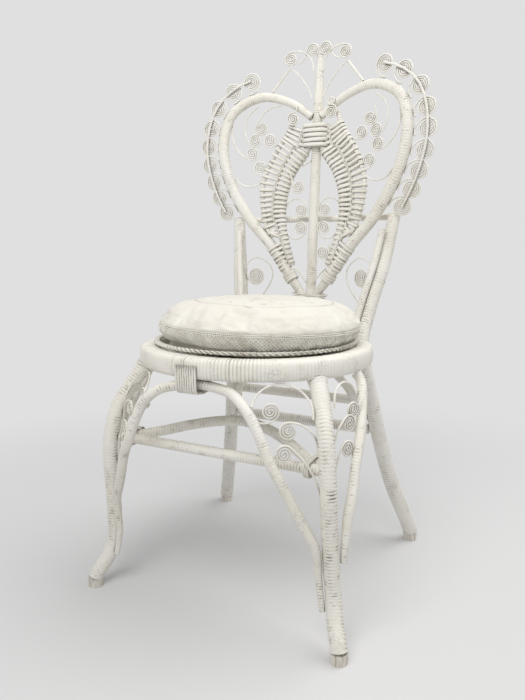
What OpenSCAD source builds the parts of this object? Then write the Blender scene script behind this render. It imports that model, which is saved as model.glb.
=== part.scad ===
// Wicker side chair with a heart-shaped scrollwork back and a round cushion.
// Millimetres, +Z up, the sitter faces -Y. The origin lies on the floor under
// the middle of the chair. "left" nodes lie at -X and "right" nodes at +X.

/* [Seat] */
// Width of the seat hoop, outside
seat_w = 422; // [360:2:520]
// Depth of the seat hoop, outside
seat_d = 398; // [340:2:480]
// Height of the hoop's underside above the floor
seat_z = 416; // [340:2:510]
// Distance of the seat's middle in front of the origin
seat_y = 50; // [40:1:60]
// Height of the hoop's band
hoop_h = 36; // [28:1:46]
// Thickness of the hoop's band, inside to outside
hoop_t = 36; // [26:1:40]
// Squareness of the hoop's rear half, 2 is an ellipse
hoop_square = 2.4; // [2:0.1:3]
// Thickness of the woven seat panel
panel_t = 5; // [3:0.5:8]
// Diameter of the plaited rim on the hoop
braid_d = 11; // [8:0.5:14]

/* [Cushion] */
// Height of the cushion above the seat panel
cushion_h = 88; // [70:1:130]
// Overhang of the cushion past the middle of the plaited rim
cushion_over = 5; // [0:1:12]
// Sideways shift of the cushion on the seat
cushion_x = 8; // [-12:1:12]
// Height of the lace trim
lace_h = 26; // [16:1:34]
// Thickness of the lace trim
lace_t = 1.2; // [0.8:0.1:2]

/* [Legs] */
// Sideways distance of a front foot from the middle
front_foot_x = 241; // [210:1:270]
// Distance of a front foot in front of the seat's middle
front_foot_y = 179; // [150:1:210]
// Sideways distance of a rear foot from the middle
rear_foot_x = 231; // [200:1:260]
// Distance of a rear foot behind the seat's middle
rear_foot_y = 282; // [240:1:310]
// Diameter of a front leg pole
leg_d = 27; // [20:1:32]
// Diameter of a front leg pole at its head
leg_head_d = 30; // [24:1:36]
// Diameter of a rear leg pole
post_d = 31; // [24:1:36]
// Diameter of an upright above the seat
upright_d = 24; // [18:1:30]
// Diameter of the bare tip of a foot
tip_d = 27; // [20:1:34]
// Height of the bare tip of a foot
tip_h = 16; // [10:1:24]
// Diameter of the arch and brace poles
arch_d = 17; // [12:1:22]

/* [Stretchers] */
// Height of the front bar
bar_z = 286; // [240:1:320]
// Diameter of the front bar
bar_d = 18; // [12:1:22]
// Diameter of the bowed stretcher
bow_d = 19; // [12:1:22]
// Rise of the bowed stretcher at its middle above the front bar
bow_rise = 28; // [0:1:50]
// Depth of the bowed stretcher at its middle behind the front bar
bow_deep = 103; // [60:1:140]
// Height of the lower rear stretcher
rear_bar_z = 254; // [220:1:280]
// Diameter of the rear stretchers
rear_bar_d = 22; // [14:1:26]
// Height of the upper rear stretcher
rear_rail_z = 315; // [290:1:340]

/* [Back] */
// Height of the back's frame above the hoop's underside, at the foot of the heart
heart_up = 101; // [80:1:140]
// Height of the heart between the axes of its poles
heart_h = 431; // [380:2:500]
// Width of the heart between the axes of its poles
heart_w = 412; // [360:2:470]
// Diameter of the heart poles
heart_d = 24; // [18:1:28]
// Diameter of the bare heart poles at the top
heart_top_d = 15; // [12:1:24]
// Diameter of the centre post
centre_d = 21; // [16:1:26]
// Height of the centre post above the heart's top
finial_up = 80; // [50:1:100]
// Distance of the back's face behind the origin at the hoop's underside
back_y = 192; // [180:1:210]
// Backward lean of the back, for each unit of height
back_lean = 0.079; // [0:0.005:0.15]
// Forward curve of the wings, for each unit of width squared
wing = 0.00085; // [0:0.00005:0.0012]
// Diameter of the second rod beside each upright
rod_d = 14; // [10:1:18]
// Diameter of the bar behind the back
cross_d = 13; // [8:1:18]
// Diameter of the lens's inner poles
lens_d = 16; // [10:1:20]
// Diameter of the lens's outer rods
lens_rim_d = 10; // [6:1:12]
// Diameter of the lens's middle rods
lens_mid_d = 5; // [4:0.5:7]

/* [Scrolls] */
// Diameter of the reed that the scrolls are coiled from
reed_d = 3.4; // [2.6:0.2:3.8]
// Distance between two turns of a scroll
pitch = 4.2; // [4:0.1:5]
// Half turns of a large scroll
big_turns = 8; // [6:2:8]
// Half turns of a small scroll
small_turns = 6; // [4:2:6]
// Least distance between two scrolls of the outer chain, along the heart
chain_step = 33; // [31:1:60]
// Diameter of the rod through the outer chain
spine_d = 5; // [4:0.5:7]

/* [Hidden] */
gap = 0.3;
pole_sides = 12;
reed_sides = 6;
core_r = 2.2;
$fn = 48;

// ---------------------------------------------------------------- functions

function unit(v) = v / norm(v);
function mirrored(v) = [-v[0], v[1], v[2]];
function round_off(v) = round(v * 100) / 100;

// Smooth curve through a list of points, steps pieces between two points
function spline(p, steps) = [
    for (i = [0 : len(p) - 2])
        let (a = p[max(i - 1, 0)], b = p[i], c = p[i + 1], d = p[min(i + 2, len(p) - 1)])
        for (k = [0 : steps - 1])
            let (t = k / steps)
            (2 * b + (c - a) * t + (2 * a - 5 * b + 4 * c - d) * t * t
                + (3 * b - a - 3 * c + d) * t * t * t) / 2,
    p[len(p) - 1]
];

// Direction of a path at point i
function heading(path, i) =
    unit(path[min(i + 1, len(path) - 1)] - path[max(i - 1, 0)]);

// Length of a path up to point i
function run(path, i) = i == 0 ? 0 : run(path, i - 1) + norm(path[i] - path[i - 1]);

// Point of a path at distance s from its start
function at(path, s, i = 1) =
    let (d = norm(path[i] - path[i - 1]))
    i == len(path) - 1 || s < d ? path[i - 1] + (path[i] - path[i - 1]) * s / d
        : at(path, s - d, i + 1);
function along(path, s) = unit(at(path, s + 2) - at(path, s - 2));

// Height at which a path is cut
function above(path, z) = [for (p = path) if (p[2] > z) p];

// ---------------------------------------------------------------- seat outline

hoop_top = seat_z + hoop_h;
function power(v, n) = sign(v) * pow(abs(v), 2 / n);
function outline(a, inset, z) =
    let (n = a > 180 ? 2 : hoop_square)
    [(seat_w / 2 - inset) * power(cos(a), n),
     (seat_d / 2 - inset) * power(sin(a), n) - seat_y, z];
function outward(a) =
    let (t = outline(a + 1, 0, 0) - outline(a - 1, 0, 0)) unit([t[1], -t[0], 0]);

// ---------------------------------------------------------------- the back's face

function face(x, z) = [x, back_y + back_lean * (z - seat_z) - wing * x * x, z];
heart_z = seat_z + heart_up;
centre_r = centre_d / 2;
heart_r = heart_d / 2;

// Points of the right heart pole, as shares of its half width and its height
heart_points = [
    [0.21, 0.10], [0.445, 0.26], [0.70, 0.40], [0.91, 0.575], [1, 0.76],
    [0.915, 0.925], [0.62, 1], [0.30, 0.965]
];
mitre_x = centre_r + gap;
heart_path = spline([
    face(mitre_x, heart_z),
    for (p = heart_points) face(p[0] * heart_w / 2, heart_z + p[1] * heart_h),
    face(mitre_x, heart_z + 0.885 * heart_h)
], 5);
heart_len = run(heart_path, len(heart_path) - 1);
heart_top = heart_z + heart_h;

// Direction across a pole of the back, to its left when walking up the right side
function across(t) = unit([-t[2], 0, t[0]]);
function on_heart(s, reach) =
    let (p = at(heart_path, s * heart_len) + reach * across(along(heart_path, s * heart_len))) [p[0], p[2]];

// ---------------------------------------------------------------- poles

// A pole of round section swept along a path. d0 and d1 are the diameters of
// its ends, reached within as many steps as taper and taper1 say, and cut0 and cut1 the
// normals of its end faces.
module pole(path, d, ref = [0, 1, 0], sides = pole_sides, d0 = 0, d1 = 0,
        cut0 = [0, 0, 0], cut1 = [0, 0, 0], taper = 6, taper1 = 6) {
    n = len(path);
    size0 = d0 > 0 ? d0 : d;
    size1 = d1 > 0 ? d1 : d;
    rings = [
        for (i = [0 : n - 1])
            let (t = heading(path, i),
                 x = unit(cross(ref, t)),
                 y = cross(t, x),
                 cut = i == 0 ? cut0 : i == n - 1 ? cut1 : [0, 0, 0],
                 r = (i < taper ? size0 + (d - size0) * i / taper
                    : i > n - 1 - taper1 ? size1 + (d - size1) * (n - 1 - i) / taper1 : d) / 2)
            for (k = [0 : sides - 1])
                let (o = r * (cos(k * 360 / sides) * x + sin(k * 360 / sides) * y))
                path[i] + o - t * (norm(cut) > 0 ? (o * cut) / (t * cut) : 0)
    ];
    faces = [
        [for (k = [sides - 1 : -1 : 0]) k],
        for (i = [0 : n - 2])
            for (k = [0 : sides - 1])
                let (a = i * sides + k, b = i * sides + (k + 1) % sides)
                each [[a, b, b + sides], [a, b + sides, a + sides]],
        [for (k = [0 : sides - 1]) (n - 1) * sides + k]
    ];
    polyhedron(rings, faces);
}

// A closed band round the seat. profile holds [outward, up] pairs.
module seat_band(profile, steps, inset, z) {
    m = len(profile);
    rings = [
        for (i = [0 : steps - 1])
            let (a = i * 360 / steps, n = outward(a), p = outline(a, inset, z))
            for (q = profile) p + n * q[0] + [0, 0, q[1]]
    ];
    faces = [
        for (i = [0 : steps - 1])
            for (k = [0 : m - 1])
                let (j = (i + 1) % steps, l = (k + 1) % m)
                each [[i * m + k, j * m + l, i * m + l], [i * m + k, j * m + k, j * m + l]]
    ];
    polyhedron(rings, faces);
}

// Places its children in the plane of ex and ey with its middle at o
module in_plane(o, ex, ey) {
    ez = unit(cross(ex, ey));
    ev = cross(ez, ex);
    multmatrix([
        [ex[0], ev[0], ez[0], o[0]],
        [ex[1], ev[1], ez[1], o[1]],
        [ex[2], ev[2], ez[2], o[2]],
        [0, 0, 0, 1]
    ]) children();
}

// A binding of strands round two or three poles, a sleeve with round ends
module sleeve(w, d, wall, h) {
    module loop(r) {
        square([w - d, 2 * r], center = true);
        for (s = [-1, 1]) translate([s * (w - d) / 2, 0]) circle(r);
    }
    linear_extrude(height = h, center = true) difference() {
        loop(d / 2 + wall);
        loop(d / 2);
    }
}

// ---------------------------------------------------------------- reeds and scrolls

// Outer radius of a scroll with this many half turns
function scroll_r(turns) = core_r + (turns - 1) * pitch / 2 + reed_d / 2;

// A reed bent in one arc through three points
module reed(a, b, c, d = reed_d) {
    u = b - a;
    v = c - a;
    n = cross(u, v);
    o = a + (cross(n, u) * (v * v) + cross(v, n) * (u * u)) / (2 * (n * n));
    r = norm(a - o);
    ex = unit(a - o);
    ey = cross(unit(n), ex);
    w = c - o;
    turn = atan2(w * ey, w * ex);
    in_plane(o, ex, ey) rotate_extrude(angle = turn > 0 ? turn : turn + 360)
        translate([r, 0]) circle(d = d);
}

// A flat scroll: half turns of growing radius, and a tail in one arc that ends
// at target. turn sets where the tail leaves, hand 1 or -1 the sense of coiling.
module scroll(o, ex, ey, turn, hand, turns, target) {
    ez = unit(cross(ex, ey));
    ev = cross(ez, ex);
    w = target - o;
    flat = [w * ex, hand * (w * ev)];
    spin = hand * turn;
    // the scroll's own middle lies a quarter pitch off its turns' centres
    q = [flat[0] * cos(spin) + flat[1] * sin(spin) + pitch / 2,
         flat[1] * cos(spin) - flat[0] * sin(spin) - pitch / 4];
    end = core_r + turns * pitch / 2;
    c = q - [end, 0];
    tail_r = round_off(-(c * c) / (2 * c[0]));
    tail_turn = 2 * atan2(-c[0], c[1]);
    in_plane(o, ex, ey) mirror([0, hand < 0 ? 1 : 0, 0]) rotate(spin) translate([-pitch / 2, pitch / 4]) {
        for (i = [0 : turns - 1])
            translate([i % 2 == 0 ? 0 : pitch / 2, 0]) rotate(i * 180)
                rotate_extrude(angle = 180) translate([core_r + i * pitch / 2, 0]) circle(d = reed_d);
        translate([end - tail_r, 0])
            rotate_extrude(angle = tail_turn) translate([tail_r, 0]) circle(d = reed_d);
    }
}

// The same on the back's face, with its middle and its target as [x, z]
module face_scroll(p, turn, hand, turns, target, lift = 0) {
    o = face(p[0], p[1]) - [0, lift, 0];
    scroll(o, unit([1, -2 * wing * p[0], 0]), unit([0, back_lean, 1]), turn, hand, turns,
        face(target[0], target[1]) - [0, lift, 0]);
}
module face_reed(a, b, c) reed(face(a[0], a[1]), face(b[0], b[1]), face(c[0], c[1]));

module side(left) mirror([left ? 1 : 0, 0, 0]) children();

// ---------------------------------------------------------------- seat

hoop_profile = [
    [0, 8], [0, hoop_h - 9], [-7, hoop_h], [-hoop_t + 6, hoop_h],
    [-hoop_t, hoop_h - 6], [-hoop_t, 6], [-hoop_t + 6, 0], [-7, 0]
];
module seat_hoop() color("ivory") seat_band(hoop_profile, 64, 0, seat_z);

panel_z = hoop_top - 12;
module seat_panel() color("ivory")
    translate([0, 0, panel_z]) linear_extrude(height = panel_t)
        polygon([for (a = [0 : 5 : 355]) let (p = outline(a, hoop_t + gap, 0)) [p[0], p[1]]]);

braid_inset = hoop_t - braid_d / 2;
module seat_braid() color("ivory")
    seat_band([for (k = [0 : 7]) [-cos(k * 45), sin(k * 45)] * braid_d / 2], 64, braid_inset,
        hoop_top + braid_d / 2 + gap);

cushion_z = panel_z + panel_t + gap;
cushion_inset = braid_inset - cushion_over;
// Share of the cushion's height up to which the plaited rim surrounds it, and
// how far it is drawn in there
cushion_rise = (hoop_top + braid_d + 3 * gap - cushion_z) / cushion_h;
cushion_tuck = cushion_over + braid_d / 2 + abs(cushion_x) + 3;
// Levels of the cushion: [share of its height, distance inside its widest outline]
cushion_levels = [
    [0, cushion_tuck + 5.5], [cushion_rise, cushion_tuck], [cushion_rise + 0.085, 7],
    [cushion_rise + 0.17, 1.5], [0.5, 0], [0.62, 4],
    [0.74, 14], [0.85, 32], [0.93, 60], [0.98, 100], [1, 150]
];
module cushion() color("linen") translate([cushion_x, 0, 0]) {
    steps = 48;
    n = len(cushion_levels);
    rings = [
        for (level = cushion_levels)
            for (i = [0 : steps - 1])
                outline(i * 360 / steps, cushion_inset + level[1], cushion_z + level[0] * cushion_h)
    ];
    faces = [
        [for (i = [steps - 1 : -1 : 0]) i],
        for (k = [0 : n - 2])
            for (i = [0 : steps - 1])
                let (a = k * steps + i, b = k * steps + (i + 1) % steps)
                each [[a, b, b + steps], [a, b + steps, a + steps]],
        [for (i = [0 : steps - 1]) (n - 1) * steps + i]
    ];
    polyhedron(rings, faces);
}

lace_z = cushion_z + 0.56 * cushion_h;
module cushion_lace() color("white")
    translate([cushion_x, 0, lace_z - lace_h]) linear_extrude(height = lace_h) difference() {
        polygon([for (a = [0 : 5 : 355])
            let (p = outline(a, cushion_inset - gap - lace_t, 0)) [p[0], p[1]]]);
        polygon([for (a = [0 : 5 : 355]) let (p = outline(a, cushion_inset - gap, 0)) [p[0], p[1]]]);
    }

// ---------------------------------------------------------------- front legs

leg_r = leg_d / 2;
arch_r = arch_d / 2;
front_foot = [front_foot_x, -seat_y - front_foot_y, tip_h + gap];
leg_angle = 327;
leg_head = outline(leg_angle, 10, seat_z - gap);
// The leg's swing off the straight line from its foot to its head:
// [share of the line, sideways, backwards]
leg_swing = [
    [0.03, -1.5, 2.5], [0.085, -8, 12], [0.175, -9, 17], [0.285, -5, 8], [0.44, 4, -9],
    [0.63, 16, -28], [0.80, 19, -30], [0.92, 9, -12]
];
front_leg_path = spline([
    front_foot,
    for (w = leg_swing) front_foot + (leg_head - front_foot) * w[0] + [w[1], w[2], 0],
    leg_head
], 3);
function at_height(path, z, i = 1) =
    i == len(path) - 1 || path[i][2] > z
        ? path[i - 1] + (path[i] - path[i - 1]) * (z - path[i - 1][2]) / (path[i][2] - path[i - 1][2])
        : at_height(path, z, i + 1);
module front_leg(left) color("ivory") side(left)
    pole(front_leg_path, leg_d, d1 = leg_head_d, cut0 = [0, 0, 1], cut1 = [0, 0, 1]);

// ---------------------------------------------------------------- rear posts

post_angle = 54;
waist = outline(post_angle, 0, seat_z + 12) + outward(post_angle) * (post_d / 2 + gap);
rear_foot = [rear_foot_x, rear_foot_y - seat_y, tip_h + gap];
post_top_z = heart_z + 0.405 * heart_h;
// The rear leg's swing off the straight line from its foot to its waist
post_swing = [[0.05, 0, 0], [0.28, -8, -11], [0.53, -8.5, -11.5], [0.75, -5, -8]];
rear_post_path = spline([
    rear_foot,
    for (w = post_swing) rear_foot + (waist - rear_foot) * w[0] + [w[1], w[2], 0],
    waist,
    waist + [4, 31, 76],
    waist + [22, 62, 168],
    waist + [36, 83, post_top_z - waist[2]]
], 5);
module rear_post(left) color("ivory") side(left)
    pole(rear_post_path, post_d, d1 = upright_d, cut0 = [0, 0, 1]);

module foot_tips() color("tan")
    for (s = [-1, 1]) for (f = [front_foot, rear_foot])
        translate([s * f[0], f[1], 0]) cylinder(d = tip_d, h = tip_h);

// ---------------------------------------------------------------- arches and braces

arch_top = seat_z - gap - arch_r;
hoop_front = outline(270, 0, 0)[1];
leg_low = at_height(front_leg_path, 62);
leg_mid = at_height(front_leg_path, 112);
leg_high = at_height(front_leg_path, 165);
leg_tie = at_height(front_leg_path, 142);
beside = arch_r + leg_r + gap;
// The front arch: [share of the way out to the leg, forwards of the hoop, below the seat]
arch_points = [
    [0.21, -19, 6], [0.33, -8, 12], [0.413, -1, 24], [0.474, 1, 39], [0.549, 2, 67],
    [0.62, 1, 102], [0.695, -4, 133], [0.765, -13, 168], [0.84, -23, 204]
];
front_arch_half = [
    [0, hoop_front + 18, arch_top],
    for (a = arch_points) [a[0] * leg_high[0], hoop_front - a[1], arch_top - a[2]],
    leg_high + (beside + 0.6) * unit([-0.8, -0.6, 0]),
    leg_mid + (beside - 1) * unit([-0.9, -0.43, 0]),
    leg_low + (beside - 3) * unit([-0.98, -0.2, 0])
];
function whole(half) = [
    for (i = [len(half) - 1 : -1 : 1]) mirrored(half[i]),
    for (p = half) p
];
module front_arch() color("ivory")
    pole(spline(whole(front_arch_half), 2), arch_d, d0 = arch_d - 7, d1 = arch_d - 7);

post_mid = at_height(rear_post_path, rear_bar_z + 40);
post_low = at_height(rear_post_path, rear_bar_z + 20);
rear_arch_y = outline(90, hoop_t / 2, 0)[1];
beside_post = arch_r + post_d / 2 + gap + 1;
rear_arch_half = [
    [0, rear_arch_y, arch_top],
    [45, rear_arch_y, arch_top - 9],
    [85, rear_arch_y, arch_top - 34],
    [116, rear_arch_y, arch_top - 62],
    [136, rear_arch_y, arch_top - 92],
    post_mid + beside_post * unit([-0.85, -0.5, 0]),
    post_low + beside_post * unit([-0.85, -0.5, 0])
];
module rear_arch() color("ivory") pole(spline(whole(rear_arch_half), 4), arch_d);

// The side brace: [sideways of the hoop, forwards of the seat's middle, share of the seat's height]
brace_points = [
    [24, 133, 0.525], [25.5, 120, 0.605], [23, 100, 0.70], [19.5, 71, 0.793],
    [13, 48, 0.868], [7, 30, 0.933], [0, 19, 0.972]
];
brace_head = outline(355, 8, seat_z - gap);
module side_brace(left) color("ivory") side(left)
    pole(spline([
        leg_tie + (beside - 2.6) * unit([0.87, 0.5, 0]),
        leg_high + (beside + 0.4) * unit([0.87, 0.5, 0]) + [0, 0, 12],
        for (b = brace_points) [seat_w / 2 + b[0], -seat_y - b[1], b[2] * seat_z],
        brace_head
    ], 3), arch_d, ref = [1, 0, 0], d0 = arch_d - 6, cut1 = [0, 0, 1]);

// ---------------------------------------------------------------- stretchers

leg_bar = at_height(front_leg_path, bar_z);
bar_y = leg_bar[1] + 10;
bar_half = leg_bar[0] - leg_r - 1;
module front_bar() color("ivory")
    translate([-bar_half, bar_y, bar_z]) rotate([0, 90, 0]) cylinder(d = bar_d, h = 2 * bar_half);
beside_bar = (bar_d + bow_d) / 2 + gap;
bow_half = [
    [0, bar_y + bow_deep, bar_z + bow_rise],
    [50, bar_y + bow_deep - 8, bar_z + bow_rise - 5],
    [95, bar_y + bow_deep - 26, bar_z + bow_rise - 13],
    [135, bar_y + bow_deep - 52, bar_z + 6],
    [165, bar_y + beside_bar + 10, bar_z + 1],
    [bar_half - 4, bar_y + beside_bar, bar_z]
];
module bow_stretcher() color("ivory") pole(spline(whole(bow_half), 4), bow_d, ref = [0, 0, 1]);
module bar_bindings() color("ivory")
    for (s = [-1, 1])
        in_plane([s * (bar_half - 20), bar_y + beside_bar / 2 + 3, bar_z], [0, 1, 0], [0, 0, 1])
            sleeve(bar_d + beside_bar + 14, bow_d + 5, 3, 10);

post_bar = at_height(rear_post_path, rear_bar_z);
rear_bar_half = post_bar[0] - post_d / 2 - 2.2;
module rear_bar() color("ivory")
    translate([-rear_bar_half, post_bar[1], rear_bar_z]) rotate([0, 90, 0])
        cylinder(d = rear_bar_d, h = 2 * rear_bar_half);
post_rail = at_height(rear_post_path, rear_rail_z);
rail_d = rear_bar_d - 2;
rail_y = rear_arch_y + arch_r + rail_d / 2 + gap;
rail_half = post_rail[0] - post_d / 2 - 1.6;
module rear_rail() color("ivory")
    translate([-rail_half, rail_y, rear_rail_z]) rotate([0, 90, 0]) cylinder(d = rail_d, h = 2 * rail_half);

// A strap under the top of the front arch and up both faces of the hoop
strap_t = 3;
strap_w = 40;
strap_x = -14;
strap_low = arch_top - arch_r - 4;
strap_front = hoop_front - 1.5;
strap_rear = hoop_front + hoop_t + 3.5;
module arch_binding() color("ivory")
    translate([strap_x, 0, 0]) rotate([90, 0, 90]) linear_extrude(height = strap_w, center = true) polygon([
        [strap_front, hoop_top - 10], [strap_front, strap_low],
        [strap_rear, strap_low], [strap_rear, panel_z - 3],
        [strap_rear + strap_t, panel_z - 3], [strap_rear + strap_t, strap_low - strap_t],
        [strap_front - strap_t, strap_low - strap_t], [strap_front - strap_t, hoop_top - 10]
    ]);

// ---------------------------------------------------------------- frame of the back

hoop_rear = outline(90, 0, 0)[1];
post_lift = 7;
function spine(z) = face(0, z) + [0, post_lift, 0];
centre_path = spline([
    [0, hoop_rear + centre_r + gap + 1, seat_z + 3],
    [0, hoop_rear + centre_r + gap + 5, hoop_top],
    spine(heart_z + 8),
    spine(heart_z + 0.3 * heart_h),
    spine(heart_z + 0.65 * heart_h),
    spine(heart_top),
    spine(heart_top + finial_up)
], 5);
module centre_post() color("ivory") pole(centre_path, centre_d, d1 = centre_d - 7, cut0 = [0, 0, 1]);

module heart(left) color("ivory") side(left)
    pole(heart_path, heart_d, d0 = heart_d - 10, d1 = heart_top_d, cut0 = [1, 0, 0], cut1 = [1, 0, 0],
        taper1 = 20);

rod_reach = (post_d + rod_d) / 2 + gap + 2.6;
rod_offset = rod_reach * unit([-0.46, -0.89, 0]);
upright_path = above(rear_post_path, hoop_top + 20);
module upright_rod(left) color("ivory") side(left)
    pole([
        at_height(rear_post_path, hoop_top) + rod_offset + [0, 0, gap],
        for (i = [0 : len(upright_path) - 3]) upright_path[i] + rod_offset
    ], rod_d, cut0 = [0, 0, 1]);

cross_z = post_top_z - 5;
upright_at = at_height(rear_post_path, cross_z);
cross_end = [upright_at[0] - upright_d / 2 + 1, upright_at[1] + upright_d / 2 + cross_d / 2 - 5, cross_z];
cross_mid = spine(cross_z) + [0, centre_r + cross_d / 2 + gap, 0];
module cross_bar() color("ivory")
    pole(spline(whole([
        cross_mid,
        [cross_end[0] * 0.5, cross_mid[1] * 0.72 + cross_end[1] * 0.28, cross_z],
        cross_end
    ]), 4), cross_d, ref = [0, 0, 1]);

// Five fat strands round the centre post and the tops of the lens
binding_z = heart_z + 0.795 * heart_h;
strand_h = 9.6;
module centre_binding() color("ivory")
    for (i = [-2 : 2])
        translate(spine(binding_z + i * (strand_h + gap)) - [0, 5, 0])
            sleeve(54, centre_d + 12, 3.5, strand_h);

// Strands round the foot of the heart
module foot_binding() color("ivory")
    for (i = [0 : 1])
        translate(face(0, heart_z - 4 + i * 9.4) + [0, 3, 0])
            sleeve(62 + 14 * i, heart_d + 8, 3, 9);

// ---------------------------------------------------------------- lens

// The inner pole of the lens runs from the centre binding to the heart pole
tie_s = 0.075 * heart_len;
tie_reach = heart_r + lens_d * 0.35 + gap;
function beside_heart(s, reach) = at(heart_path, s) + reach * across(along(heart_path, s));
lens_inner_path = spline([
    face(centre_r + lens_d * 0.25 + gap, binding_z + 10),
    face(centre_r + lens_d / 2, binding_z - 27),
    face(0.250 * heart_w / 2, heart_z + 0.62 * heart_h),
    face(0.335 * heart_w / 2, heart_z + 0.50 * heart_h),
    face(0.335 * heart_w / 2, heart_z + 0.36 * heart_h),
    beside_heart(tie_s + 50, tie_reach + 4),
    beside_heart(tie_s + 24, tie_reach)
], 5);
module lens_inner(left) color("ivory") side(left)
    pole(lens_inner_path, lens_d, d0 = lens_d / 2, d1 = lens_d * 0.7);

// Its outer rod ends at the heart pole above and below
rim_s = 0.225 * heart_len;
rim_reach = heart_r + lens_rim_d / 2 + gap + 0.8;
crown_s = heart_len - 34;
lens_rim_path = spline([
    beside_heart(crown_s, heart_top_d / 2 + lens_rim_d / 2 + 4),
    face(0.30 * heart_w / 2, heart_z + 0.82 * heart_h),
    face(0.46 * heart_w / 2, heart_z + 0.70 * heart_h),
    face(0.565 * heart_w / 2, heart_z + 0.555 * heart_h),
    beside_heart(rim_s + 30, rim_reach + 3),
    beside_heart(rim_s, rim_reach)
], 5);
module lens_rim(left) color("ivory") side(left)
    pole(lens_rim_path, lens_rim_d, sides = 8);

lens_middle_path = [
    at(lens_inner_path, 44) + ((lens_d + lens_mid_d) / 2 + 0.6) * unit([0.9, 0, 0.43]),
    for (i = [4 : 22])
        let (s = i / 24, a = at(lens_inner_path, s * 270 + 14), b = at(lens_rim_path, s * 218))
        a * 0.52 + b * 0.48
];
module lens_middle(left) color("ivory") side(left)
    pole(lens_middle_path, lens_mid_d, sides = 8);

// Three bands round the heart pole under the lens
function heart_turn(s) = atan2(along(heart_path, s)[2], along(heart_path, s)[0]);
module lens_binding(left) color("ivory") side(left)
    for (i = [0 : 2])
        let (s = tie_s + i * 6.2, t = along(heart_path, s))
        in_plane(at(heart_path, s), across(t), cross(t, across(t)))
            sleeve(heart_d + 1.1, heart_d + 1.1, 2.4, 5.6);

// ---------------------------------------------------------------- outer chain

chain_reach = heart_r + scroll_r(big_turns) + 9;
chain_start = 0.389 * heart_len;
chain_end = 0.785 * heart_len;
chain_count = floor((chain_end - chain_start) / chain_step) + 1;
function chain_s(i) = chain_start + i * (chain_end - chain_start) / (chain_count - 1);
function chain_at(i) = at(heart_path, chain_s(i)) - chain_reach * across(along(heart_path, chain_s(i)));
module chain_scrolls(left) color("ivory") side(left)
    for (i = [0 : chain_count - 1]) {
        t = along(heart_path, chain_s(i));
        o = chain_at(i);
        scroll(o, t, across(t), -20, 1, big_turns,
            at(heart_path, chain_s(i) - 13) - (heart_r + reed_d / 2 + 1.9) * across(t));
    }
spine_lift = [0, -(reed_d + spine_d) / 2 - 1.3, 0];
module chain_spine(left) color("ivory") side(left)
    pole([for (i = [0 : 0.5 : chain_count - 1]) chain_at(i) + spine_lift], spine_d, sides = 8);

// ---------------------------------------------------------------- finial

small_r = scroll_r(small_turns);
finial_z = heart_top + finial_up + 0.60 * small_r;
wing_z = heart_top + 74;
wing_x = 62;
module finial_scrolls() color("ivory")
    for (left = [false, true]) side(left) {
        face_scroll([small_r + 0.2, finial_z], 0, -1, small_turns, [wing_x - 16, wing_z - 10], reed_d / 2 + gap);
        face_scroll([wing_x, wing_z], 70, 1, small_turns, [centre_r, wing_z - 30], 1.5 * reed_d + 2 * gap);
    }
module finial_reeds() color("ivory")
    for (left = [false, true]) side(left)
        face_reed([centre_r + 2, heart_top - 12], [34, heart_top + 28], [wing_x + 2, wing_z - small_r - 4]);
perch = on_heart(0.84, -heart_top_d / 2 - 3.4);
module finial_rods() color("ivory")
    for (left = [false, true]) side(left)
        pole([face(wing_x + 5, wing_z - small_r - 5), face(perch[0], perch[1])], spine_d, sides = 8);

// ---------------------------------------------------------------- lobes

function lobe(x, z) = [x * heart_w / 2, heart_z + z * heart_h];
inside = heart_r + reed_d / 2;
inside_top = heart_top_d / 2 + reed_d / 2 + 1;
// Three scrolls that touch, two below them, and one beside the post. The tail
// of the topmost has broken off short on the right.
module lobe_scrolls(left) color("ivory") side(left) {
    face_scroll(lobe(0.602, 0.846), 10, 1, small_turns, left ? lobe(0.40, 0.954) : lobe(0.64, 0.90));
    face_scroll(lobe(0.668, 0.789), -45, 1, small_turns, lobe(0.645, 0.955));
    face_scroll(lobe(0.510, 0.786), -90, -1, small_turns, lobe(0.415, 0.765));
    face_scroll(lobe(0.692, 0.723), -70, 1, small_turns, lobe(0.906, 0.872));
    face_scroll(lobe(0.607, 0.655), -60, -1, small_turns, lobe(0.569, 0.61));
    face_scroll(lobe(left ? 0.243 : 0.18, left ? 0.882 : 0.90), 90, 1, small_turns,
        on_heart(0.94, 0), heart_top_d / 2 + reed_d / 2 + 3 * gap);
}
module lobe_reeds(left) color("ivory") side(left)
    face_reed(lobe(0.862, 0.603), lobe(0.685, 0.560), lobe(0.585, 0.58));

// ---------------------------------------------------------------- inside the lens

// Two scrolls on each side whose tails arch over to the lens, and a third that
// stands above them on the left and below them on the right
on_lens = (lens_d + reed_d) / 2 + 3 * gap;
module lens_scrolls() color("ivory")
    for (left = [false, true]) side(left) {
        face_scroll(lobe(0.128, 0.435), 180, -1, small_turns, lobe(0.298, 0.455));
        face_scroll(lobe(0.128, 0.350), 180, 1, small_turns, lobe(0.276, 0.325));
        if (left) face_scroll(lobe(0.155, 0.546), 0, 1, small_turns, lobe(0.25, 0.62), on_lens);
        else face_scroll(lobe(0.160, 0.225), 0, 1, small_turns, lobe(0.195, 0.285), on_lens);
    }
module lens_reeds() color("ivory") {
    for (left = [false, true]) side(left)
        face_reed(lobe(0.18, 0.150), lobe(0.107, 0.118), [centre_r - 2, heart_z + 0.077 * heart_h]);
    side(true) face_reed(lobe(0.135, 0.650), lobe(0.085, 0.665), [centre_r - 2, heart_z + 0.674 * heart_h]);
}

// ---------------------------------------------------------------- below the heart

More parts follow.
